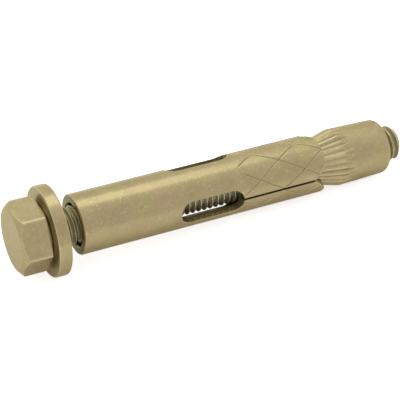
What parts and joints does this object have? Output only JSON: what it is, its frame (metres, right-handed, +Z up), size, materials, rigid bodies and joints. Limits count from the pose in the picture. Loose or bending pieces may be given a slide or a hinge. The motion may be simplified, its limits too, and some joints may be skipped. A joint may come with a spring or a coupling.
{
  "type": "sleeve anchor bolt",
  "caption": "Hex-bolt sleeve anchor lying on its side: hex head, thick washer, slotted and scored expansion sleeve, knurled cone nut.",
  "frame": {"origin": "middle of the footprint, on the floor the part lies on", "axes": "+X from the head towards the tip, +Z up; the axis dips slightly towards the tip because the part lies on the washer's rim and the far edge of the cone nut"},
  "size_m": [0.0838, 0.018, 0.0181],
  "materials": {
    "bolt_zinc": "yellow-passivated zinc plating, satin, softly domed edges",
    "washer_zinc": "yellow-passivated zinc plating, satin",
    "sleeve_zinc": "yellow-passivated zinc plating, satin, faintly cloudy",
    "nut_zinc": "yellow-passivated zinc plating, satin, bright knurl edges"
  },
  "bodies": {
    "sleeve": {"expansion_sleeve": "sleeve_zinc"},
    "bolt": {"hex_bolt": "bolt_zinc"},
    "washer": {"washer": "washer_zinc"},
    "nut": {"cone_nut": "nut_zinc"}
  },
  "joints": [
    {"name": "bolt_turn", "type": "hinge", "parent": "sleeve", "child": "bolt", "pos_m": [-0.02914, 0, 0.0088], "axis": [0.9988, 0, -0.0483], "range_deg": [-1440, 0]},
    {"name": "nut_travel", "type": "slide", "parent": "sleeve", "child": "nut", "axis": [0.9988, 0, -0.0483], "range_m": [0, 0.005]},
    {"name": "washer_slide", "type": "slide", "parent": "bolt", "child": "washer", "axis": [0.9988, 0, -0.0483], "range_m": [0, 0.0034]}
  ],
  "couplings": [
    {"joint": "nut_travel", "follows": "bolt_turn", "m_per_rad": -0.00019894}
  ]
}
